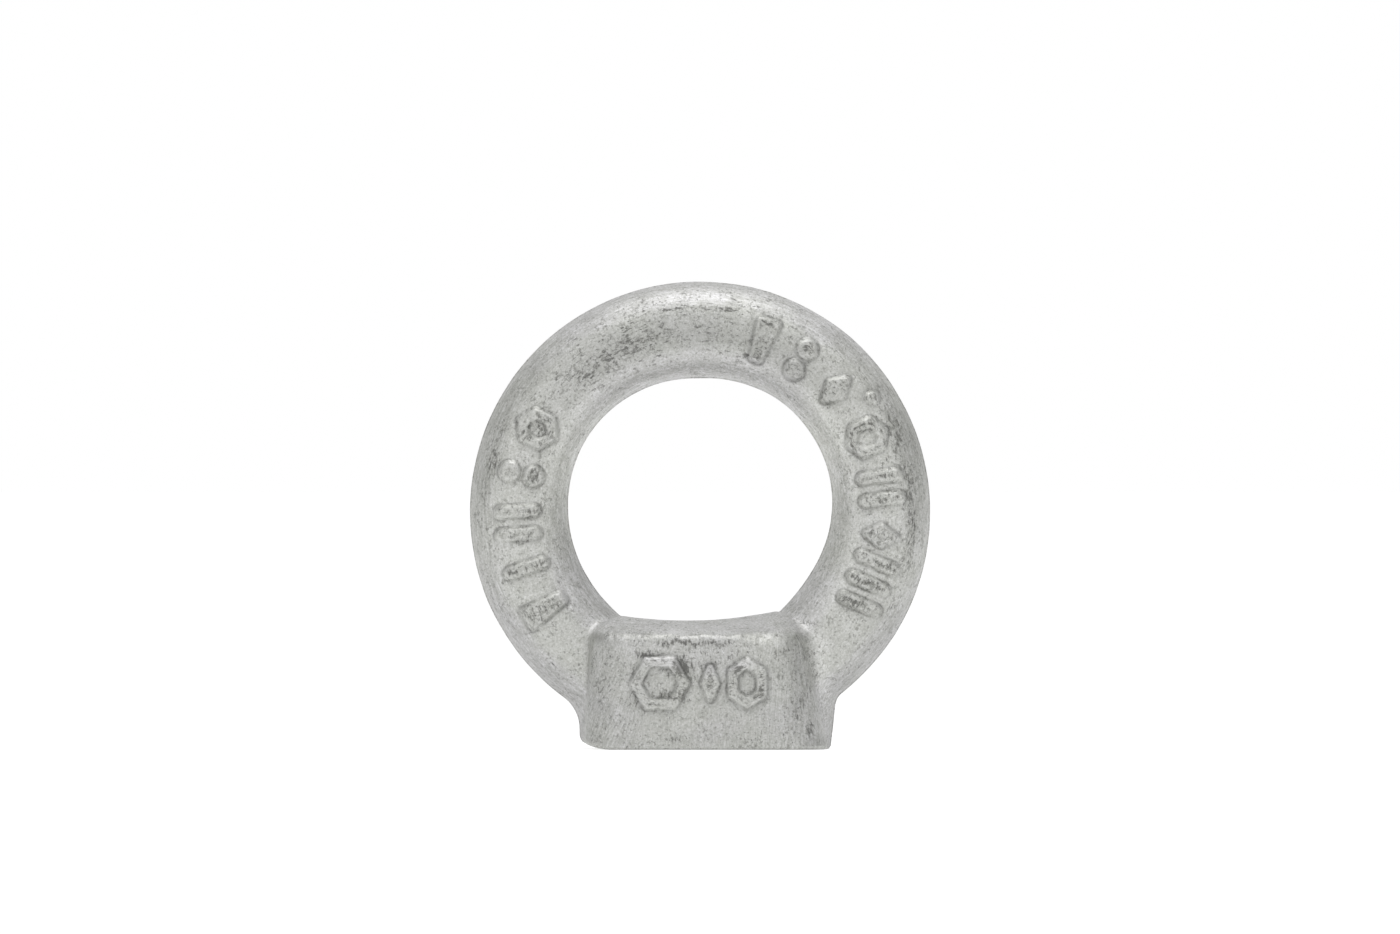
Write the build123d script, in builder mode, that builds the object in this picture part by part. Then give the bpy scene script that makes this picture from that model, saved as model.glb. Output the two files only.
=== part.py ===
"""Lifting eye nut, DIN 582 pattern, thread M10: one drop-forged steel piece.

Frame: origin on the thread axis at the seat face, +Z up along the thread and through the eye.
The eye opens along Y, and the marked face looks along -Y. Lengths are in mm, angles in degrees.
Sketches on Plane.XZ use X to the right and Z upward, and extrude towards -Y.
"""

import os
from math import radians, tan

from build123d import *

os.makedirs("parts", exist_ok=True)

# Ring: round outside, with an eye whose outline is a chain of tangent arcs
total_height = 45.7
ring_r = 22.5
ring_z = total_height - ring_r
ring_depth = 10.0
section_round = 4.3  # leaves a narrow flat round each rim, where the forging flash was trimmed

eye_top_z = 36.24
eye_half_width = 12.9
eye_upper_left_r = 12.37
eye_lower_left_r = 14.05
eye_lower_left_turn = 50
eye_upper_right_r = 12.14
eye_right_side_turn = 25  # the upper right arc runs on by this much below its side point
eye_lower_right_r = 18.0
eye_lower_right_turn = 34

# Foot of the ring in the parting plane of the dies, wider upward
foot_left = 11.72
foot_left_top = 12.0
foot_right = 12.76
foot_right_top = 14.0
foot_height = 12.0
left_neck_r = 3.8
right_neck_r = 1.8

# Boss round the thread, narrower towards the eye, most of all on its right side
boss_depth = 20.0
boss_seat_left = 11.4
boss_seat_right = 12.5
boss_seat_corner = 4.4
boss_top_left = 10.3
boss_top_right = 9.1
boss_top_corner = 3.4
boss_blank_height = 15.0
brow_z = 11.1  # its top edge at the front and back
brow_slope = 18.0  # the top falls away from the eye by this much
shoulder_slope = 27.0  # and by this much to each side
boss_edge_round = 0.7

# Saddle: the bottom of the eye, hollow from side to side
saddle_left = (-7.85, 13.05)
saddle_low = (-1.0, 12.56)
saddle_right = (7.6, 13.5)

seat_edge = 0.4
trim_start = 3.2  # in from the left end, where the seat starts to curve up
trim_r = 6.5
trim_turn = 30.0

# Thread M10 x 1.5, modelled as its core
core_r = 4.25
countersink_r = 5.3
core_top = 16.0

# Raised forging marks
relief = 0.35
mark_r = 17.8  # the middle of the row of marks round the ring
mark_length = 4.8  # across the row
mark_width = 2.9  # along the row
mark_corner = 0.45
stroke = 1.5
bar_pitch = 2.2
frame_stroke = 1.3
frame_hole_corner = 0.3
pip_r = 1.15
dot_r = 0.75
dot_row_r = 20.2
dot_angle = 33.5
face_mark_z = 6.5
face_mark_height = 5.4
face_lozenge_width = 2.2
face_frame_x = -3.9
face_lozenge_x = 1.0
face_narrow_frame_x = 4.6


with BuildPart() as bow:
    with BuildSketch(Plane.XZ) as bow_outline:
        with Locations((0, ring_z)):
            Circle(ring_r)
        with BuildLine():
            Polyline(
                (-foot_left, 0),
                (foot_right, 0),
                (foot_right_top, foot_height),
                (-foot_left_top, foot_height),
                close=True,
            )
        make_face()
        necks = bow_outline.vertices().filter_by_position(Axis.Y, 1, foot_height).sort_by(Axis.X)
        fillet(necks[0], left_neck_r)
        fillet(necks[-1], right_neck_r)
    extrude(amount=ring_depth / 2, both=True)
    with BuildSketch(Plane.XZ):
        with BuildLine():
            crown = Line(
                (eye_upper_left_r - eye_half_width, eye_top_z),
                (eye_half_width - eye_upper_right_r, eye_top_z),
            )
            upper_left = JernArc(crown @ 0, (-1, 0), eye_upper_left_r, 90)
            lower_left = JernArc(
                upper_left @ 1, upper_left % 1, eye_lower_left_r, eye_lower_left_turn
            )
            upper_right = JernArc(crown @ 1, (1, 0), eye_upper_right_r, -90 - eye_right_side_turn)
            lower_right = JernArc(
                upper_right @ 1, upper_right % 1, eye_lower_right_r, -eye_lower_right_turn
            )
            Spline(
                lower_left @ 1,
                lower_right @ 1,
                tangents=(lower_left % 1, -(lower_right % 1)),
            )
        make_face()
    extrude(amount=ring_depth / 2, both=True, mode=Mode.SUBTRACT)
    rims = bow.faces().filter_by(Axis.Y).edges().filter_by_position(Axis.Z, 0.01, total_height)
    fillet(rims, section_round)
    chamfer(bow.edges().group_by(Axis.Z)[0], seat_edge)


boss_reach = boss_seat_right + 1


def shoulder_end(corner):
    """Height of a shoulder, which falls from a corner of the saddle, at the boss's reach."""
    return corner[1] - (boss_reach - abs(corner[0])) * tan(radians(shoulder_slope))


with BuildPart() as boss:
    with BuildSketch():
        with Locations(((boss_seat_right - boss_seat_left) / 2, 0)):
            RectangleRounded(boss_seat_left + boss_seat_right, boss_depth, boss_seat_corner)
    with BuildSketch(Plane.XY.offset(boss_blank_height)):
        with Locations(((boss_top_right - boss_top_left) / 2, 0)):
            RectangleRounded(boss_top_left + boss_top_right, boss_depth, boss_top_corner)
    loft(ruled=True)
    with BuildSketch(Plane.XZ):
        with BuildLine():
            saddle = ThreePointArc(saddle_left, saddle_low, saddle_right)
            Polyline(
                saddle @ 0,
                (-boss_reach, shoulder_end(saddle_left)),
                (-boss_reach, 0),
                (boss_reach, 0),
                (boss_reach, shoulder_end(saddle_right)),
                saddle @ 1,
            )
        make_face()
    extrude(amount=boss_depth / 2, both=True, mode=Mode.INTERSECT)
    with BuildSketch(Plane.YZ):
        Polygon(
            (-boss_depth / 2, 0),
            (boss_depth / 2, 0),
            (boss_depth / 2, brow_z),
            (0, brow_z + boss_depth / 2 * tan(radians(brow_slope))),
            (-boss_depth / 2, brow_z),
        )
    extrude(amount=boss_reach, both=True, mode=Mode.INTERSECT)
    top_edges = boss.edges().filter_by_position(Axis.Z, brow_z - 0.1, total_height)
    fillet(top_edges, boss_edge_round)
    chamfer(boss.edges().group_by(Axis.Z)[0], seat_edge)


def rounded_polygon(corners, corner_r=mark_corner):
    with BuildSketch() as outline:
        Polygon(*corners)
        fillet(outline.vertices(), corner_r)
    return outline.sketch


def bars(count):
    """Parallel round-ended bars across the row."""
    with BuildSketch() as mark:
        with GridLocations(0, bar_pitch, 1, count):
            SlotOverall(mark_length, stroke)
    return mark.sketch


def pips():
    with BuildSketch() as mark:
        with GridLocations(mark_length / 2, 0, 2, 1):
            Circle(pip_r)
    return mark.sketch


def wedge():
    return rounded_polygon(
        [
            (-mark_length / 2, -stroke / 2),
            (mark_length / 2, -mark_width / 2),
            (mark_length / 2, mark_width / 2),
            (-mark_length / 2, stroke / 2),
        ]
    )


def lozenge(length=mark_length, width=mark_width):
    return rounded_polygon([(-length / 2, 0), (0, -width / 2), (length / 2, 0), (0, width / 2)])


def hexagon(length, width, corner_r):
    return rounded_polygon(
        [
            (-length / 2, 0),
            (-length / 4, -width / 2),
            (length / 4, -width / 2),
            (length / 2, 0),
            (length / 4, width / 2),
            (-length / 4, width / 2),
        ],
        corner_r,
    )


def hexagon_frame(length=mark_length, width=mark_length * 0.8):
    outer = hexagon(length, width, mark_corner)
    inner = hexagon(length - frame_stroke * 2.2, width - frame_stroke * 1.9, frame_hole_corner)
    with BuildSketch() as mark:
        add(outer)
        add(inner, mode=Mode.SUBTRACT)
    return mark.sketch


row_of_marks = (
    (70, wedge()),
    (56.5, pips()),
    (42, lozenge()),
    (24, hexagon_frame()),
    (7.5, bars(2)),
    (-7.5, lozenge()),
    (-23, bars(3)),
    (153, hexagon_frame()),
    (168, pips()),
    (183.5, bars(2)),
    (198, bars(1)),
    (212, wedge()),
)
face_marks = (
    (Location((face_frame_x, face_mark_z)), hexagon_frame(face_mark_height * 1.15, face_mark_height)),
    (Location((face_lozenge_x, face_mark_z), 90), lozenge(face_mark_height, face_lozenge_width)),
    (
        Location((face_narrow_frame_x, face_mark_z), 90),
        hexagon_frame(face_mark_height, face_mark_height * 0.75),
    ),
)

with BuildPart() as ring_marks:
    with BuildSketch(Plane.XZ):
        with Locations((0, ring_z)):
            for angle, mark in row_of_marks:
                with PolarLocations(mark_r, 1, start_angle=angle):
                    add(mark)
            with PolarLocations(dot_row_r, 1, start_angle=dot_angle):
                Circle(dot_r)
    extrude(amount=ring_depth)
    add(bow.part.moved(Location((0, -relief, 0))), mode=Mode.INTERSECT)

with BuildPart() as eye_nut:
    add(bow.part)
    add(boss.part)
    add(ring_marks.part)
    with BuildSketch(Plane.XZ.offset(boss_depth / 2 - relief)):
        for place, mark in face_marks:
            with Locations(place):
                add(mark)
    extrude(amount=relief * 2)
    with BuildSketch(Plane.XZ):
        with BuildLine():
            trim = JernArc((trim_start - foot_left, 0), (-1, 0), trim_r, -trim_turn)
            Polyline(trim @ 1, (-foot_left - 1, (trim @ 1).Y), (-foot_left - 1, 0), trim @ 0)
        make_face()
    extrude(amount=boss_depth, both=True, mode=Mode.SUBTRACT)
    with Locations((0, 0, core_top)):
        Hole(core_r, core_top)
    mouth = eye_nut.faces().sort_by(Axis.Z)[0].inner_wires()[0]
    chamfer(mouth.edges(), countersink_r - core_r)

eye_nut.part.label = "eye_nut"
export_step(eye_nut.part, "parts/eye_nut.step")
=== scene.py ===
"""Lifting eye nut, M10: one drop-forged piece with a hot-dip galvanised skin, on a pale floor.

The body is the zero surface of a signed distance, so that the ring runs into the boss through
soft blends and the raised marks have the rounded edges of a forging. Shape lengths are in mm.
"""

from itertools import product
from math import cos, hypot, pi, radians, sin, sqrt, tan

import bpy
import numpy as np
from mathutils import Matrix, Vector, noise


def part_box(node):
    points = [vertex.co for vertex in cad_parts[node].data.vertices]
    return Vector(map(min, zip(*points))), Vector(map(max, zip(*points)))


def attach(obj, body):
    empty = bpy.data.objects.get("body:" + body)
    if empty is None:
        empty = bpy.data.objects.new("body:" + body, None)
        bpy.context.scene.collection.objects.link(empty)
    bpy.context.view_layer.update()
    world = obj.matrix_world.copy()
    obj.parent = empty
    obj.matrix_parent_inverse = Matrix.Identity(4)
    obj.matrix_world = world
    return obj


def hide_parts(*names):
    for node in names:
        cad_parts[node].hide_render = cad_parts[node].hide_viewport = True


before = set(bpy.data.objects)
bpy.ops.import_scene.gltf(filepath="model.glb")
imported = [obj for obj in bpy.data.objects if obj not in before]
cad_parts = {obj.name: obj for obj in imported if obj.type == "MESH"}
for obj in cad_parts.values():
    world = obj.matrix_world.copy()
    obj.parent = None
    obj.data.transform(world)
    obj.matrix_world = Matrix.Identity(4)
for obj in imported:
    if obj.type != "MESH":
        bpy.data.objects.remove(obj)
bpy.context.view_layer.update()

MM = 0.001
cad_low, cad_high = (np.array(corner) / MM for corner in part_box("eye_nut"))

# ---------------------------------------------------------------- dimensions of the forging

ring_r = cad_high[0]
ring_z = cad_high[2] - ring_r
ring_half_depth = 5.0
section_round = 4.3
flash_step = 0.12  # the trimmed flash stands this far off the rest of the rim
flash_half_width = 0.8

eye_top_z = 36.24
eye_upper_left = (-0.53, 23.87, 12.37)  # x, z and radius of each arc
eye_lower_left = (1.15, 23.87, 14.05)
eye_upper_right = (0.76, 24.10, 12.14)
eye_lower_right_r = 18.0
eye_right_turn = radians(-25)

foot_left = (-11.72, 0.0233, 3.8)  # x at the seat, slope outward with height, radius of the neck
foot_right = (12.76, 0.1033, 1.8)
neck_depth = 6.0  # the fillets of the necks shape the outline down to this depth

skin_allowance = 0.04  # the uneven skin swells out of the flat faces by this much
boss_half_depth = cad_high[1] - skin_allowance
boss_left = (11.4, 10.3)  # half widths at the seat and at the height of the blank
boss_right = (12.5, 9.1)
boss_corner = (4.4, 3.4)
boss_blank_height = 15.0
brow_z = 11.1  # top edge of the boss's front and back, from which its top slopes up to the eye
brow_slope = radians(18)
shoulder_slope = radians(27)  # the top also falls this much to each side of the saddle
saddle_left = (-7.85, 13.05)  # x and z of the saddle's ends and of its lowest point
saddle_low = (-1.0, 12.56)
saddle_right = (7.6, 13.5)
saddle_edge_round = 0.25
boss_edge_round = 0.5
boss_end_round = 1.1  # more than that towards the boss's two ends
seat_edge_round = 0.45
sharp_blend = 0.12  # fillet between ring and boss where they meet at the eye and the outline
trim_x = -8.52  # the left end of the seat curves up from here
trim_r = 6.5
trim_reach = 3.25

thread_pitch = 1.5
thread_major_r = 5.0
thread_minor_r = 4.19
flank_scale = 0.6  # distances along the radius overstate those from the leaning flanks
countersink_r = 5.3
hole_edge_round = 0.15
hole_top = 16.0  # the hole ends in the eye, above the saddle

relief = -cad_low[1] - cad_high[1]
mark_r = 17.8  # the middle of the row of marks round the ring
mark_length = 4.8  # across the row
mark_width = 2.9  # along the row
mark_corner = 0.45
mark_reach = 4.5  # a mark counts only for places this near to its centre
far_from_marks = 2.0  # distances from the marks are counted up to this
stroke = 1.5
bar_pitch = 2.2
frame_stroke = 1.3
frame_hole_corner = 0.3
pip_r = 1.15
dot_r = 0.75
dot_row_r = 20.2
face_mark_z = 6.5
face_mark_height = 5.4
face_lozenge_width = 2.2
face_frame_x = -3.9
face_lozenge_x = 1.0
face_narrow_frame_x = 4.6

# Profile across a stroke, at distances from the mark's outline, which are negative inside it
mark_foot = 0.08
mark_crest = -0.42
mark_hollow = -0.72
hollow_depth = 0.1
moat = (0.2, 0.17)  # distance and half width
moat_depth = 0.06

plate_right = (0.9, 14.5)  # edge of a die plate beside the marks: centre above the ring's, radius
plate_left = (0.0, 15.2)
plate_step = 0.06
plate_edge_round = 0.15
plate_fade = (35.0, 29.0)  # the step dies out upward between these heights


# ---------------------------------------------------------------- distances

def round_union(a, b, r):
    """The union of two distances, with a fillet of radius r in the corner between them."""
    return np.maximum(r, np.minimum(a, b)) - np.hypot(np.maximum(r - a, 0), np.maximum(r - b, 0))


def round_overlap(a, b, r):
    """What two distances share, with the edge between them rounded to radius r."""
    return -round_union(-a, -b, r)


def smooth(start, end, value):
    """From nothing at the start to one at the end, which may be the lower of the two."""
    t = np.clip((value - start) / (end - start), 0, 1)
    return t * t * (3 - 2 * t)


def bell(value, centre, width):
    return np.exp(-(((value - centre) / width) ** 2))


def between(value, low, high, soft):
    return smooth(low - soft, low + soft, value) * smooth(high + soft, high - soft, value)


def extrude(outline, y, half_depth, edge_round):
    """An outline extruded along Y with its edges rounded."""
    across = outline + edge_round
    along = np.abs(y) - half_depth + edge_round
    corner = np.hypot(np.maximum(across, 0), np.maximum(along, 0))
    return np.minimum(np.maximum(across, along), 0) + corner - edge_round


def circle_through(a, b, c):
    """Centre and radius of the circle through three points."""
    (ax, az), (bx, bz), (cx, cz) = a, b, c
    d = 2 * (ax * (bz - cz) + bx * (cz - az) + cx * (az - bz))
    a2, b2, c2 = ax * ax + az * az, bx * bx + bz * bz, cx * cx + cz * cz
    x = (a2 * (bz - cz) + b2 * (cz - az) + c2 * (az - bz)) / d
    z = (a2 * (cx - bx) + b2 * (ax - cx) + c2 * (bx - ax)) / d
    return x, z, hypot(ax - x, az - z)


def neck(x, z, outline, foot, side):
    """Fillets the corner between the ring and one side of the foot in the 2-D outline."""
    foot_x, slope, r = foot
    scale = 1 / sqrt(1 + slope * slope)
    along = np.array((side * slope, 1)) * scale
    out = np.array((side, -slope)) * scale
    reach = np.array((foot_x, -ring_z)) + out * r
    # The fillet's centre lies r beside the foot, at reach and along it, and r outside the ring
    drop = -reach @ along
    rise = drop - sqrt(drop * drop - reach @ reach + (ring_r + r) ** 2)
    to_centre = reach + along * rise
    towards_ring = -to_centre / np.linalg.norm(to_centre)
    towards_side = -out
    u = x - to_centre[0]
    w = z - ring_z - to_centre[1]
    turn = towards_ring[0] * towards_side[1] - towards_ring[1] * towards_side[0]
    first = (u * towards_side[1] - w * towards_side[0]) / turn
    second = (towards_ring[0] * w - towards_ring[1] * u) / turn
    from_centre = np.hypot(u, w)
    beside = (first > 0) & (second > 0) & (from_centre < r + neck_depth)
    return np.where(beside, r - from_centre, outline)


def bow_outline(x, z):
    ring = np.hypot(x, z - ring_z) - ring_r
    sides = np.maximum(foot_left[0] - foot_left[1] * z - x, x - foot_right[0] - foot_right[1] * z)
    outline = np.minimum(ring, np.maximum(sides, z - ring_z))
    outline = neck(x, z, outline, foot_left, -1)
    return neck(x, z, outline, foot_right, 1)


def arc(x, z, centre_and_r):
    return np.hypot(x - centre_and_r[0], z - centre_and_r[1]) - centre_and_r[2]


eye_lower_right = (
    eye_upper_right[0] - (eye_lower_right_r - eye_upper_right[2]) * cos(eye_right_turn),
    eye_upper_right[1] - (eye_lower_right_r - eye_upper_right[2]) * sin(eye_right_turn),
    eye_lower_right_r,
)


def eye_outline(x, z):
    """The eye, negative inside, as a chain of tangent arcs."""
    left = np.where(z > eye_upper_left[1], arc(x, z, eye_upper_left), arc(x, z, eye_lower_left))
    rise = (z - eye_upper_right[1]) * cos(eye_right_turn)
    run = (x - eye_upper_right[0]) * sin(eye_right_turn)
    right = np.where(rise > run, arc(x, z, eye_upper_right), arc(x, z, eye_lower_right))
    crown = z - eye_top_z
    return np.where(x < eye_upper_left[0], left, np.where(x > eye_upper_right[0], right, crown))


saddle = circle_through(saddle_left, saddle_low, saddle_right)


def brow_distance(x, y, z):
    """The slope at the top of the front and back, whose lower edge wanders a little."""
    run = x + np.where(y < 0, 0.0, 2.5)
    wander = 0.07 * np.sin(1.7 * run + 0.6) + 0.05 * np.sin(3.9 * run) + 0.03 * np.sin(8.3 * run)
    inward = boss_half_depth - np.abs(y)
    rise = wander * smooth(1.6, 0.2, inward) + inward * tan(brow_slope)
    return (z - brow_z - rise) * cos(brow_slope)


def boss_distance(x, y, z):
    """The drafted boss, with rounded corners, under the saddle, the shoulders and the brow."""
    rise = z / boss_blank_height
    left, right, corner = (
        seat + (top - seat) * rise for seat, top in (boss_left, boss_right, boss_corner)
    )
    across = np.where(x < 0, -x - left, x - right) + corner
    along = np.abs(y) - boss_half_depth + corner
    wall = np.minimum(np.maximum(across, along), 0) - corner
    wall = wall + np.hypot(np.maximum(across, 0), np.maximum(along, 0))
    top = -arc(x, z, saddle)
    for end_x, end_z in (saddle_left, saddle_right):
        fall = (z - end_z) * cos(shoulder_slope) + (np.abs(x) - abs(end_x)) * sin(shoulder_slope)
        fall = np.where(x * end_x > 0, fall, -boss_left[0])  # on its own side only
        top = round_overlap(top, fall, saddle_edge_round)
    top = round_overlap(top, brow_distance(x, y, z), saddle_edge_round)
    at_ends = smooth(2.5, 6.0, x) + 0.6 * smooth(-4.5, -8.0, x)
    return round_overlap(wall, top, boss_edge_round + boss_end_round * at_ends)


def hole_distance(x, y, z):
    """The threaded hole with its countersink, negative in the metal round it."""
    r = np.hypot(x, y)
    turn = z / thread_pitch - np.arctan2(y, x) / (2 * pi)
    from_groove = np.abs(turn - np.floor(turn) - 0.5) * thread_pitch
    half_flat = thread_pitch / 16
    flank = (from_groove - half_flat) * tan(radians(60))
    wall_r = thread_major_r - np.clip(flank, 0, thread_major_r - thread_minor_r)
    wall = (wall_r - r) * flank_scale
    mouth = (countersink_r - z - r) * cos(radians(45))
    return np.where(z < hole_top, np.maximum(wall, mouth), -1.0)


# ---------------------------------------------------------------- raised marks

def polygon(u, v, corners):
    """Signed distance from a polygon whose corners run anticlockwise."""
    nearest = np.full(np.shape(u), 1e6)
    inside = np.ones(np.shape(u), bool)
    for (ax, ay), (bx, by) in zip(corners, corners[1:] + corners[:1]):
        ex, ey = bx - ax, by - ay
        t = np.clip(((u - ax) * ex + (v - ay) * ey) / (ex * ex + ey * ey), 0, 1)
        nearest = np.minimum(nearest, np.hypot(u - ax - ex * t, v - ay - ey * t))
        inside &= ex * (v - ay) - ey * (u - ax) > 0
    return np.where(inside, -nearest, nearest)


def rounded_polygon(corners, r=mark_corner):
    """The distance from a polygon with rounded corners, as a function of u and v."""
    points = np.array(corners)
    ahead = np.roll(points, -1, 0) - points
    ahead /= np.linalg.norm(ahead, axis=1)[:, None]
    behind = np.roll(ahead, 1, 0)
    inward = np.stack((-ahead[:, 1] - behind[:, 1], ahead[:, 0] + behind[:, 0]), 1)
    points += inward * r / (1 + (ahead * behind).sum(1))[:, None]
    return lambda u, v: polygon(u, v, points.tolist()) - r


def bars(count):
    """Parallel round-ended bars across the row."""
    centres = [(index - (count - 1) / 2) * bar_pitch for index in range(count)]
    half_run = (mark_length - stroke) / 2

    def distance(u, v):
        past_end = np.maximum(np.abs(u) - half_run, 0)
        return np.min([np.hypot(past_end, v - centre) for centre in centres], 0) - stroke / 2

    return distance


def pips(u, v):
    return np.hypot(np.abs(u) - mark_length / 4, v) - pip_r


def dot(u, v):
    return np.hypot(u, v) - dot_r


def wedge():
    half, thin, thick = mark_length / 2, stroke / 2, mark_width / 2
    return rounded_polygon([(-half, -thin), (half, -thick), (half, thick), (-half, thin)])


def lozenge(length=mark_length, width=mark_width):
    return rounded_polygon([(-length / 2, 0), (0, -width / 2), (length / 2, 0), (0, width / 2)])


def hexagon(length, width, r):
    a, b, c = length / 2, length / 4, width / 2
    return rounded_polygon([(-a, 0), (-b, -c), (b, -c), (a, 0), (b, c), (-b, c)], r)


def hexagon_frame(length=mark_length, width=mark_length * 0.8):
    outer = hexagon(length, width, mark_corner)
    inner = hexagon(length - frame_stroke * 2.2, width - frame_stroke * 1.9, frame_hole_corner)
    return lambda u, v: np.maximum(outer(u, v), -inner(u, v))


# angle and radius of the mark's place on the ring, distance from it in its own u and v
ring_marks = (
    (70, mark_r, wedge()),
    (56.5, mark_r, pips),
    (42, mark_r, lozenge()),
    (24, mark_r, hexagon_frame()),
    (7.5, mark_r, bars(2)),
    (-7.5, mark_r, lozenge()),
    (-23, mark_r, bars(3)),
    (153, mark_r, hexagon_frame()),
    (168, mark_r, pips),
    (183.5, mark_r, bars(2)),
    (198, mark_r, bars(1)),
    (212, mark_r, wedge()),
    (33.5, dot_row_r, dot),
)
# the same with centre x and z, and the angle of u
marks = [
    (r * cos(radians(angle)), ring_z + r * sin(radians(angle)), radians(angle), mark)
    for angle, r, mark in ring_marks
]
marks += [
    (face_frame_x, face_mark_z, 0, hexagon_frame(face_mark_height * 1.15, face_mark_height)),
    (face_lozenge_x, face_mark_z, pi / 2, lozenge(face_mark_height, face_lozenge_width)),
    (
        face_narrow_frame_x,
        face_mark_z,
        pi / 2,
        hexagon_frame(face_mark_height, face_mark_height * 0.75),
    ),
]


def mark_distance(x, z):
    """Distance from the outline of the nearest mark, negative inside it."""
    x, z = np.broadcast_arrays(x, z)
    best = np.full(x.shape, far_from_marks)
    for centre_x, centre_z, angle, mark in marks:
        near = np.hypot(x - centre_x, z - centre_z) < mark_reach
        du, dv = x[near] - centre_x, z[near] - centre_z
        u = du * cos(angle) + dv * sin(angle)
        v = dv * cos(angle) - du * sin(angle)
        best[near] = np.minimum(best[near], mark(u, v))
    return best


def mark_height(x, z):
    """How far the marks stand out: round strokes, hollow along the middle, in a faint moat."""
    distance = mark_distance(x, z)
    height = relief * smooth(mark_foot, mark_crest, distance)
    height -= hollow_depth * smooth(mark_crest, mark_hollow, distance)
    return height - moat_depth * bell(distance, *moat)


def beyond_plate_edge(x, z):
    """How far a place lies outward from the edge of the die plate on its side of the ring."""
    rise = np.where(x > 0, plate_right[0], plate_left[0])
    edge_r = np.where(x > 0, plate_right[1], plate_left[1])
    return np.hypot(x, z - ring_z - rise) - edge_r


def plate_height(x, z):
    """A faint step in the front of the ring, where a die plate ended beside each row of marks."""
    beyond = smooth(-plate_edge_round, plate_edge_round, beyond_plate_edge(x, z))
    return plate_step * beyond * smooth(*plate_fade, z)


def shape(x, y, z):
    """Signed distance from the forging, negative inside the metal."""
    outline = bow_outline(x, z)
    eye = eye_outline(x, z)
    front = smooth(-1.0, -3.0, y)
    out = mark_height(x, z) * front
    ring_2d = np.maximum(outline, -eye)
    bow_y = y + out + plate_height(x, z) * front
    bow = extrude(ring_2d + flash_step, bow_y, ring_half_depth, section_round)
    flash = extrude(ring_2d, y, flash_half_width, 0.5 * flash_step)
    bow = round_union(bow, flash, 0.5 * flash_step)
    # The fillet between ring and boss grows away from the eye and outline, most on the right
    blend = 0.7 * smooth(0.1, 1.4, eye) + (0.3 + 0.7 * smooth(0, 6, x)) * smooth(1.5, 3.5, eye)
    blend = sharp_blend + blend * smooth(0.2, 2.4, -outline)
    body = round_union(bow, boss_distance(x, y + out, z), blend)
    seat = np.hypot(np.clip(trim_x - x, 0, trim_reach), np.maximum(trim_r - z, 0)) - trim_r
    body = round_overlap(body, seat, seat_edge_round)
    return round_overlap(body, hole_distance(x, y, z), hole_edge_round)


# ---------------------------------------------------------------- surface

def surface(field, low, step):
    """Quads of the zero surface of a field: a vertex in each crossed cell, a face on each edge."""
    inside = field < 0
    cells = np.array(field.shape) - 1
    count = np.zeros(cells, np.int8)
    for i, j, k in product((0, 1), repeat=3):
        count += inside[i : cells[0] + i, j : cells[1] + j, k : cells[2] + k]
    crossed = (count > 0) & (count < 8)
    index = np.full(cells, -1, np.int32)
    cell = np.argwhere(crossed)
    index[crossed] = np.arange(len(cell))

    total = np.zeros((len(cell), 3))
    crossings = np.zeros(len(cell))
    for axis, a, b in product(range(3), (0, 1), (0, 1)):
        start = np.insert([a, b], axis, 0)
        end = np.insert([a, b], axis, 1)
        first = field[tuple((cell + start).T)]
        second = field[tuple((cell + end).T)]
        crosses = (first < 0) != (second < 0)
        share = np.where(crosses, first / np.where(crosses, first - second, 1), 0)
        point = start + (end - start) * share[:, None]
        total += point * crosses[:, None]
        crossings += crosses
    points = low + (cell + total / crossings[:, None]) * step

    quads = []
    for axis in range(3):
        u, v = (axis + 1) % 3, (axis + 2) % 3
        here = np.moveaxis(inside, axis, 0)
        edge = np.moveaxis(here[:-1] != here[1:], 0, axis)
        at = np.argwhere(edge)
        at = at[(at[:, u] > 0) & (at[:, v] > 0)]
        at = at[(at[:, u] < cells[u]) & (at[:, v] < cells[v])]
        corners = []
        for back_u, back_v in ((1, 1), (0, 1), (0, 0), (1, 0)):
            corner = at.copy()
            corner[:, u] -= back_u
            corner[:, v] -= back_v
            corners.append(index[tuple(corner.T)])
        quad = np.stack(corners, 1)
        outward = inside[tuple(at.T)]
        quad[~outward] = quad[~outward][:, ::-1]
        quads.append(quad)
    return points, np.concatenate(quads)


def slope(points, reach=0.02):
    """Gradient of the shape's distance at the points."""
    result = np.empty_like(points)
    for axis in range(3):
        offset = np.zeros(3)
        offset[axis] = reach
        ahead = shape(*(points + offset).T)
        behind = shape(*(points - offset).T)
        result[:, axis] = (ahead - behind) / (2 * reach)
    return result


grid_step = np.array((0.16, 0.28, 0.16))
grid_margin = 0.6
grid_low = cad_low - grid_margin
grid_size = np.ceil((cad_high + grid_margin - grid_low) / grid_step).astype(int) + 1
xs, ys, zs = (grid_low[i] + grid_step[i] * np.arange(grid_size[i]) for i in range(3))
field = shape(xs[:, None, None], ys[None, :, None], zs[None, None, :])
points, quads = surface(field, grid_low, grid_step)

# Newton's steps take the vertices onto the exact surface
newton_steps = 3
least_slope2 = 0.05
longest_move = 0.1
normal_reach = 0.08  # normals come from a wider stretch, which evens them out over sharp edges
for _ in range(newton_steps):
    gradient = slope(points)
    slope2 = np.maximum((gradient**2).sum(1), least_slope2)
    move = gradient * (shape(*points.T) / slope2)[:, None]
    points -= np.clip(move, -longest_move, longest_move)
normals = slope(points, normal_reach)
normals /= np.linalg.norm(normals, axis=1)[:, None]

# ---------------------------------------------------------------- uneven forged skin

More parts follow.
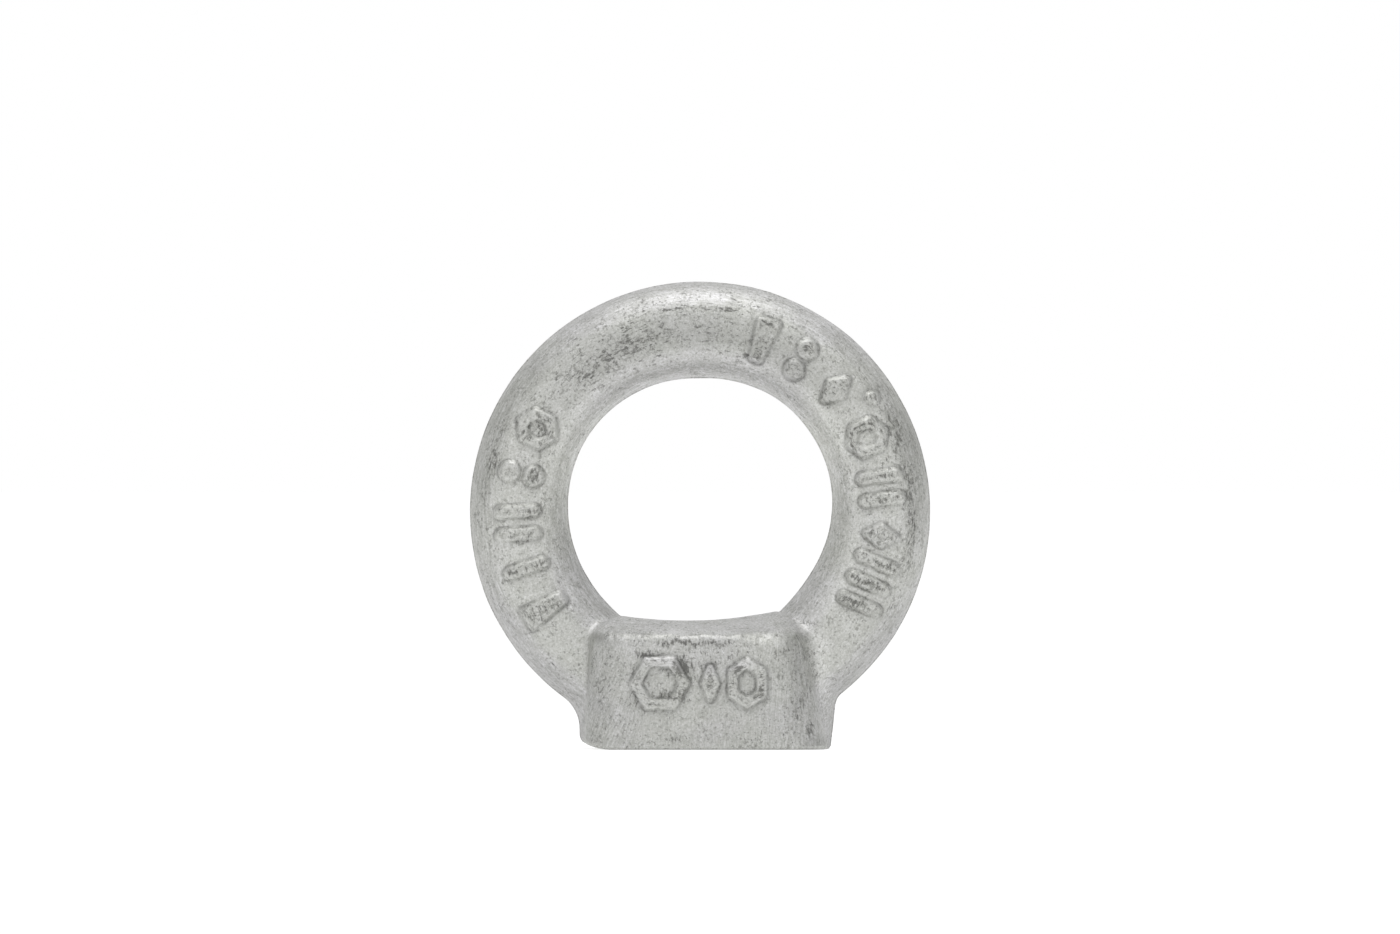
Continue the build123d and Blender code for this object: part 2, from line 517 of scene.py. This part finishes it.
noise_sizes = (6.0, 1.7, 0.75)
swell_lift = 0.05
lump_lift = 0.016
ripple_lift = 0.01
pit_depth = 0.04
swell, lump, ripple = np.array(
    [[noise.noise(point / size) for size in noise_sizes] for point in map(Vector, points)]
).T

# ---------------------------------------------------------------- masks over the surface

x, y, z = points.T
ring_turn = np.arctan2(x, z - ring_z)  # 0 at the crown, so that the seam is hidden by the boss
turn = np.degrees(ring_turn)
radius = np.hypot(x, z - ring_z)
from_thread = np.hypot(x, y)
front = smooth(-1.0, -2.5, y)
in_thread = smooth(5.5, 5.3, from_thread) * smooth(12.0, 11.0, z)
machined = np.maximum(in_thread, smooth(0.12, 0.04, z))
on_boss = smooth(0.25, -0.25, boss_distance(x, y, z) - 0.05)
on_ring = 1 - on_boss
to_mark = mark_distance(x, z)
on_mark = smooth(0.15, -0.15, to_mark) * front

# Dark patina: bands round the ring, a row of pits under the brow, stains, and the marks
patina_bands = (
    # radius, half width, first and last angle, softness of the ends, strength
    (17.6, 1.7, -46, -8, 10, 0.85),
    (18.9, 1.6, -40, 2, 8, 0.5),
    (17.6, 1.5, -10, 16, 8, 0.4),
    (19.9, 0.4, -12, 9, 4, 0.8),
    (20.6, 0.7, 60, 108, 8, 0.95),
    (20.9, 0.45, -90, -64, 7, 0.8),
)
stains = (
    # centre x and z, radii, strength
    (-1.9, 8.0, 1.2, 1.1, 1.7),
    (1.0, 8.0, 0.7, 1.0, 1.0),
    (3.6, 7.9, 0.7, 0.7, 1.2),
    (5.9, 5.8, 0.6, 1.1, 1.0),
    (-3.4, 5.0, 1.6, 1.1, 0.9),
    (-6.2, 5.4, 0.5, 1.8, 0.8),
    (-5.2, 9.2, 1.4, 0.35, 1.3),
    (-9.6, 6.0, 0.9, 2.2, 0.35),
    (8.6, 9.7, 1.1, 0.25, 1.2),
    (9.8, 4.2, 1.1, 2.0, 0.7),
    (9.4, 9.4, 1.3, 1.7, 0.75),
    (10.6, 7.0, 0.7, 3.0, 0.6),
    (-2.4, 1.0, 0.8, 0.35, 0.9),
    (-10.0, 1.0, 0.8, 0.35, 0.8),
    (10.8, 2.1, 0.25, 0.8, 1.3),
    (-15.4, 31.6, 1.4, 1.6, 0.9),
    (1.8, 40.5, 0.5, 0.25, 1.3),
    (4.4, 38.4, 0.9, 0.3, 1.0),
    (-5.8, 38.0, 0.8, 0.4, 0.7),
    (0.3, 40.0, 0.3, 0.6, 0.8),
)
pit_row_z = 10.42 + 0.15 * np.sin(2.2 * x) + 0.1 * np.sin(5.1 * x + 1)
patina = bell(z, pit_row_z, 0.28) * between(x, -4.3, 2.9, 0.6)
for band_r, half_width, first, last, softness, strength in patina_bands:
    band = bell(radius, band_r, half_width) * between(turn, first, last, softness)
    patina = np.maximum(patina, strength * band)
for centre_x, centre_z, radius_x, radius_z, strength in stains:
    stain = bell(x, centre_x, radius_x) * bell(z, centre_z, radius_z)
    patina = np.maximum(patina, strength * stain)
in_hollow = smooth(-0.4, -0.65, to_mark) * (0.7 + 1.4 * swell)
patina = np.maximum(patina, np.maximum(in_hollow, 0.45 * on_mark)) * front

# Zones of the ring: by the angle from the crown, and by the distance from its centre
crown = smooth(60, 30, np.abs(turn))
below_crown = smooth(60, 90, np.abs(turn))
low_leg = smooth(100, 125, np.abs(turn))
left_of_crown = smooth(-10, -25, turn)
inner = smooth(16.6, 15.0, radius)
inner_rim = smooth(14.3, 13.3, radius)
outer = smooth(19.8, 21.0, radius)
rim = smooth(20.5, 21.6, radius)

# Painted light and shade, and a dull line round each mark, as changes from the zinc's plain colour.
# First the ring's inner side: painted light on its slopes, painted shade at its rim
painted_light_and_grime = (0.18 - 0.04 * below_crown) * inner - 0.04 * bell(radius, 14.5, 0.6)
painted_light_and_grime -= 0.1 * inner_rim * (1 - 0.5 * low_leg) * (0.65 + 0.35 * below_crown)
painted_light_and_grime += 0.05 * smooth(-115, -130, turn) * smooth(14.0, 13.0, radius)
painted_light_and_grime += 0.035 * between(turn, 95, 135, 8) * inner_rim

# Its crown: painted shade along the crest and just inside the rim, and a painted highlight on the
# rim
painted_light_and_grime -= 0.17 * crown * bell(radius, 17.1, 1.5) * (1 - 0.3 * left_of_crown)
painted_light_and_grime -= 0.05 * crown * smooth(18.0, 19.5, radius) * (1 - 0.4 * left_of_crown)
painted_light_and_grime += 0.08 * crown * rim

# Its outer side: painted shade on the legs' outer slopes and more at the low legs, painted light at
# the upper right and along the legs' middle
painted_light_and_grime -= 0.03 * outer * (1 - crown) * (1 - low_leg) + 0.03 * rim * between(turn, -120, -60, 10)
painted_light_and_grime -= low_leg * (0.06 * smooth(19.0, 20.5, radius) + 0.08 * rim)
upper_right_sheen = between(turn, 20, 60, 12) * smooth(19.2, 20.5, radius) * smooth(3.0, -1.0, y)
painted_light_and_grime += (0.12 + 0.03 * rim) * upper_right_sheen
painted_light_and_grime += 0.06 * between(np.abs(turn), 60, 115, 8) * bell(radius, 18.8, 1.6)

# A painted highlight along the right die plate's edge
plate_edge_highlight = bell(beyond_plate_edge(x, z), 0.1, 0.15) * smooth(35, 30, z) * smooth(-4, 4, x)
painted_light_and_grime += 0.07 * plate_edge_highlight * front
painted_light_and_grime *= on_ring

# The boss: painted light above the brow's edge, a painted highlight along that edge, and painted
# shade below it
brow = smooth(brow_z, brow_z + 0.5, z)
painted_light_and_grime += on_boss * (0.09 * brow - 0.1 * (1 - brow))
# Painted shade over the front's middle, more towards the right
painted_light_and_grime -= on_boss * front * between(z, 3.5, 10.6, 0.7) * (0.045 + 0.03 * smooth(-1, 3, x))
# Painted shade that dims the brow's edge towards its ends
brow_end_shade = 1.3 * smooth(3.0, 4.5, x) + 1.1 * smooth(-4.5, -6.0, x)
painted_light_and_grime -= 0.14 * on_boss * bell(z, brow_z + 0.1, 0.5) * brow_end_shade * front
brow_highlight = on_boss * bell(z, brow_z + 0.25, 0.25) * between(x, -5, 3.3, 0.6) * front
painted_light_and_grime += 0.22 * brow_highlight * (0.9 + 1.3 * lump)

# Painted light on the ring's foot beside the boss and a painted highlight right of the boss, and a
# dull line round each mark
painted_light_and_grime += 0.03 * smooth(11.0, 11.8, np.abs(x)) * smooth(8, 5, z)
right_fillet_highlight = between(x, 9.8, 12.5, 0.6) * smooth(12.5, 10.5, z) * smooth(0.5, 2.0, z)
painted_light_and_grime += 0.16 * right_fillet_highlight * front
painted_light_and_grime -= 0.06 * bell(to_mark, 0.15, 0.2) * front

# A cooler tint where the crown's and low legs' sides and the brow catch the light, a painted
# reflection; streaks most at the edges
highlight_tint = on_ring * (inner + outer) * np.maximum(crown, low_leg) + on_boss * brow
ring_edges = smooth(2.2, 3.4, np.abs(radius - 17.5)) * on_ring
boss_ends = smooth(4, 8, np.abs(x)) * on_boss
streaky = 0.3 + 0.7 * (ring_edges + boss_ends)

# ---------------------------------------------------------------- the piece

lift = swell_lift * swell + (lump_lift * lump + ripple_lift * ripple) * (1 + on_mark)
lift -= pit_depth * np.minimum(patina, 1) * smooth(0.1, 0.5, ripple + 0.5 * lump)
lift *= 1 - machined
points += normals * lift[:, None]
points = np.clip(points, cad_low, cad_high)

mesh = bpy.data.meshes.new("forged_eye_nut")
mesh.from_pydata((points * MM).tolist(), [], quads.tolist())
mesh.polygons.foreach_set("use_smooth", np.ones(len(quads), bool))
mesh.validate()
mesh.update()
body = bpy.data.objects.new("forged_eye_nut", mesh)
bpy.context.collection.objects.link(body)

# Thinning goes by weight, and takes nothing where there is none: it spares the marks, and on
# the flat seat one vertex in each square, so that the seat's triangles don't grow into slivers
most_triangles = 192000
weight_levels = (0.25, 0.5, 0.75, 1.0)
spared_width = 0.3  # round the marks
fully_thinned = 1.2  # this far from the marks
post_pitch = 1.4
seat_top = 0.05
plain = body.vertex_groups.new(name="plain")
weight = smooth(spared_width, fully_thinned, np.where(y < -1, to_mark, far_from_marks))
for weight_level in weight_levels:
    chosen = (weight > weight_level - weight_levels[0]) & (weight <= weight_level)
    plain.add(np.nonzero(chosen)[0].tolist(), weight_level, "REPLACE")
seat = z < seat_top
from_post = points[:, :2] - np.round(points[:, :2] / post_pitch) * post_pitch
posts = seat & (np.abs(from_post) < 0.55 * grid_step[:2]).all(1)  # the nearest vertices
plain.remove(np.nonzero(posts)[0].tolist())
thin_out = body.modifiers.new("thin_out", "DECIMATE")
thin_out.ratio = most_triangles / (2 * len(quads))
thin_out.vertex_group = plain.name
thin_out.vertex_group_factor = 1.0


def store(name, values, kind="FLOAT"):
    layer = mesh.attributes.new(name, kind, "POINT")
    layer.data.foreach_set("value" if kind == "FLOAT" else "vector", np.ravel(values))


# Streaks run round the ring, up the boss, aslant on its left, and round the machined thread
round_ring = np.stack((ring_turn * mark_r, radius, y), 1)
slanted_x = x - 0.5 * z * smooth(-1, -10, x)
up_boss = np.stack((z, slanted_x, y), 1)
round_thread = np.stack((np.arctan2(y, x) * thread_major_r, from_thread, z), 1)
flow = np.where((on_boss > 0.5)[:, None], up_boss, round_ring)
flow = np.where((machined > 0.5)[:, None], round_thread, flow)
flow = np.where(seat[:, None], np.stack((x, y, z), 1), flow)
store("flow", flow, "FLOAT_VECTOR")
store("patina", patina)
store("painted_light_and_grime", 1 + painted_light_and_grime)
store("highlight_tint", highlight_tint)
store("machined", machined)
store("from_mark", to_mark + 3 * (1 - front))  # far from any mark behind the ring's front
store("streaky", streaky)

# ---------------------------------------------------------------- node trees

class Nodes:
    """Adds nodes to the tree of a material or world."""

    def __init__(self, owner):
        owner.use_nodes = True
        self.nodes = owner.node_tree.nodes
        self.links = owner.node_tree.links

    def add(self, kind, inputs=(), **settings):
        """A node with its settings, and its inputs given by name or number as values or sockets."""
        node = self.nodes.new(kind)
        for name, value in settings.items():
            setattr(node, name, value)
        for key, value in dict(inputs).items():
            if isinstance(value, bpy.types.NodeSocket):
                self.links.new(value, node.inputs[key])
            else:
                node.inputs[key].default_value = value
        return node

    def math(self, operation, *values, clamp=False):
        inputs = dict(enumerate(values))
        return self.add("ShaderNodeMath", inputs, operation=operation, use_clamp=clamp).outputs[0]

    def plus(self, value, *terms):
        """The value with shares of others added, each term a share and what it is of."""
        for share, other in terms:
            value = self.math("MULTIPLY_ADD", other, share, value)
        return value

    def stretch(self, value, start, end, to_start=0.0, to_end=1.0):
        """The value, with its range from start to end stretched onto another."""
        inputs = {0: value, 1: start, 2: end, 3: to_start, 4: to_end}
        return self.add("ShaderNodeMapRange", inputs).outputs[0]

    def peak(self, value, centre, half_width):
        """One at the centre, down to nothing at the half width on each side."""
        distance = self.math("ABSOLUTE", self.math("SUBTRACT", value, centre))
        return self.stretch(distance, half_width, 0.0)

    def mix(self, factor, first, second, **settings):
        inputs = {0: factor, 6: first, 7: second}
        return self.add("ShaderNodeMix", inputs, data_type="RGBA", **settings).outputs[2]

    def attribute(self, name, output="Fac"):
        return self.add("ShaderNodeAttribute", attribute_name=name).outputs[output]

    def noise(self, vector, scale, detail, roughness=0.5):
        inputs = {"Vector": vector, "Scale": scale, "Detail": detail, "Roughness": roughness}
        return self.add("ShaderNodeTexNoise", inputs).outputs["Fac"]

    def flow_noise(self, scale, detail, roughness):
        """Noise in the flow's coordinates, with a scale along the flow and two across it."""
        inputs = {"Vector": self.attribute("flow", "Vector"), "Scale": scale}
        return self.noise(self.add("ShaderNodeMapping", inputs).outputs[0], 1.0, detail, roughness)

    def centred(self, value):
        return self.math("SUBTRACT", value, 0.5)


# ---------------------------------------------------------------- galvanised skin

steel = bpy.data.materials.new("galvanised_skin")
skin = Nodes(steel)
shader = skin.nodes["Principled BSDF"]
shader.inputs["Metallic"].default_value = 0.7

place = skin.add("ShaderNodeTexCoord").outputs["Object"]
grain = skin.noise(place, 5200, 2.5, 0.65)
pinholes = skin.noise(place, 3300, 2.0, 0.6)
crystals = skin.noise(place, 1500, 2.0)
clusters = skin.noise(place, 620, 2.0)
mottle = skin.noise(place, 420, 3.0, 0.6)
hue = skin.noise(place, 160, 1.0)
streaks = skin.flow_noise((0.55, 4.2, 2.4), 2.0, 0.6)
scratches = skin.flow_noise((1.1, 8.0, 5.0), 1.5, 0.5)
squiggles = skin.flow_noise((1.5, 3.4, 3.4), 3.5, 0.75)
patina_here = skin.attribute("patina")
machined_here = skin.attribute("machined")

# Plain zinc, from dull at the ramp's start through light grey towards white at its end
streak = skin.plus(skin.centred(streaks), (0.8, skin.centred(scratches)))
streak = skin.math("MULTIPLY", streak, skin.attribute("streaky"))
zinc = skin.plus(
    0.51,
    (0.65, skin.centred(grain)),
    (0.15, skin.centred(crystals)),
    (0.2, skin.centred(mottle)),
    (0.4, streak),
)
ramp = skin.add("ShaderNodeValToRGB", {"Fac": zinc})
ramp.color_ramp.elements[0].position = 0.05
ramp.color_ramp.elements[0].color = (0.25, 0.252, 0.23, 1)
light_grey = ramp.color_ramp.elements.new(0.45)
light_grey.color = (0.502, 0.507, 0.477, 1)

# Each mark has a thin dark crease along its foot, a light rim that is partly wear and partly
# painted highlight, and a pitted middle
from_mark = skin.plus(skin.attribute("from_mark"), (0.12, skin.centred(crystals)))
creased = skin.stretch(clusters, 0.35, 0.6, 0.2, 1.0)
crease = skin.math("MULTIPLY", skin.peak(from_mark, 0.07, 0.15), creased)
rubbed = skin.stretch(hue, 0.4, 0.6, 0.3, 1.0)
rim_wear_and_highlight = skin.math("MULTIPLY", skin.peak(from_mark, -0.25, 0.17), rubbed)
middle = skin.stretch(from_mark, -0.5, -0.66)

# Fine dark pinholes all over, and longer dark specks in clusters where the patina is
loose = skin.centred(clusters)
pin = skin.stretch(skin.plus(pinholes, (0.25, loose), (0.08, patina_here)), 0.57, 0.68)
speck = skin.stretch(skin.plus(squiggles, (0.3, loose), (0.16, patina_here)), 0.62, 0.74)
colour = ramp.outputs["Color"]
for amount, layer, layer_colour in (
    (0.7, pin, (0.27, 0.272, 0.25, 1)),
    (0.8, speck, (0.14, 0.14, 0.13, 1)),
    (0.15, patina_here, (0.28, 0.28, 0.26, 1)),
    (0.7, rim_wear_and_highlight, (0.66, 0.665, 0.64, 1)),
    (0.5, crease, (0.19, 0.19, 0.18, 1)),
    (0.6, machined_here, (0.46, 0.455, 0.44, 1)),
):
    colour = skin.mix(skin.math("MULTIPLY", layer, amount), colour, layer_colour)
# The cooler tint of the painted reflections, varied by a little random hue
coolness = skin.math(
    "ADD", skin.attribute("highlight_tint"), skin.stretch(hue, 0.4, 0.6, -0.3, 0.3), clamp=True
)
colour = skin.mix(coolness, colour, (1.0, 0.99, 1.025, 1), blend_type="MULTIPLY")
toned = skin.add(
    "ShaderNodeVectorMath", {0: colour, 3: skin.attribute("painted_light_and_grime")}, operation="SCALE"
)
skin.links.new(toned.outputs[0], shader.inputs["Base Color"])

roughness = skin.stretch(skin.math("ADD", grain, mottle), 0.6, 1.4, 0.43, 0.57)
roughness = skin.plus(roughness, (0.15, speck), (-0.12, machined_here))
skin.links.new(roughness, shader.inputs["Roughness"])

bump_height = skin.plus(
    0.0,
    (0.7, grain),
    (0.6, streak),
    (0.4, crystals),
    (-0.6, pin),
    (-1.0, speck),
    (-1.6, crease),
    (-0.8, middle),
)
bump = skin.add("ShaderNodeBump", {"Strength": 1.0, "Distance": 0.000022, "Height": bump_height})
skin.links.new(bump.outputs["Normal"], shader.inputs["Normal"])
mesh.materials.append(steel)

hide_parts("eye_nut")
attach(body, "root")

# ---------------------------------------------------------------- stage

scene = bpy.context.scene
scene.view_settings.view_transform = "Standard"

# A light tent, white to the front, behind the object and round the horizon, greyer at the sides
side_light = 0.45
side_lean = -0.1  # a little darker on the right
world = bpy.data.worlds.new("tent")
scene.world = world
tent = Nodes(world)
sky = tent.nodes["Background"]
sky.inputs["Color"].default_value = (1, 1, 1, 1)
direction = tent.add("ShaderNodeTexCoord").outputs["Generated"]
to_x, to_y, to_z = tent.add("ShaderNodeSeparateXYZ", {0: direction}).outputs
ahead = tent.stretch(to_y, -0.15, -0.8)
behind = tent.stretch(to_y, 0.25, 0.95, 0.0, 0.6)
backdrop = tent.stretch(to_y, 0.96, 0.98)
horizon = tent.math("LESS_THAN", tent.math("ABSOLUTE", to_z), 0.05)
white = ahead
for zone in (behind, backdrop, horizon):
    white = tent.math("MAXIMUM", white, zone)
grey = tent.math("MULTIPLY_ADD", to_x, side_lean, side_light)
light = tent.math("MULTIPLY_ADD", white, tent.math("SUBTRACT", 1.0, grey), grey)
tent.links.new(light, sky.inputs["Strength"])

# White paper: matt, and lifted to white where it is seen, so that only the shadow shows
floor_half = 30.0
floor_z = 0.00001  # a hair above the seat, so that the seat's own face shows from below
paper_colour = (0.6, 0.6, 0.6, 1)
paper_glow = 0.68
corners = ((-1, -1), (1, -1), (1, 1), (-1, 1))
floor_points = [(i * floor_half, j * floor_half, floor_z) for i, j in corners]
floor_mesh = bpy.data.meshes.new("floor")
floor_mesh.from_pydata(floor_points, [], [(0, 1, 2, 3)])
floor = bpy.data.objects.new("floor", floor_mesh)
bpy.context.collection.objects.link(floor)
paper = bpy.data.materials.new("white_paper")
sheet = Nodes(paper)
sheet.nodes.remove(sheet.nodes["Principled BSDF"])
matt = sheet.add("ShaderNodeBsdfDiffuse", {"Color": paper_colour})
path = sheet.add("ShaderNodeLightPath")
seen = path.outputs["Is Camera Ray"]
for ray in ("Is Glossy Ray", "Is Transmission Ray"):
    seen = sheet.math("MAXIMUM", seen, path.outputs[ray])
glow = sheet.add("ShaderNodeEmission", {"Strength": sheet.math("MULTIPLY", seen, paper_glow)})
both = sheet.add("ShaderNodeAddShader", {0: matt.outputs[0], 1: glow.outputs[0]})
sheet.links.new(both.outputs[0], sheet.nodes["Material Output"].inputs["Surface"])
floor_mesh.materials.append(paper)

lamp = bpy.data.lights.new("softbox", "AREA")
lamp.shape = "SQUARE"
lamp.size = 0.35
lamp.energy = 0.9
softbox = bpy.data.objects.new("softbox", lamp)
softbox.location = (0, -0.08, 0.45)
bpy.context.collection.objects.link(softbox)

# ---------------------------------------------------------------- camera

camera_distance = 3.0
picture_width = 0.13684
view_z = 0.02757
sensor_width = 36
lens = bpy.data.cameras.new("camera")
lens.sensor_width = sensor_width
lens.lens = sensor_width * camera_distance / picture_width
lens.clip_start = 0.01
camera = bpy.data.objects.new("camera", lens)
camera.location = (0, -camera_distance, view_z)
camera.rotation_euler = (pi / 2, 0, 0)
bpy.context.collection.objects.link(camera)
scene.camera = camera
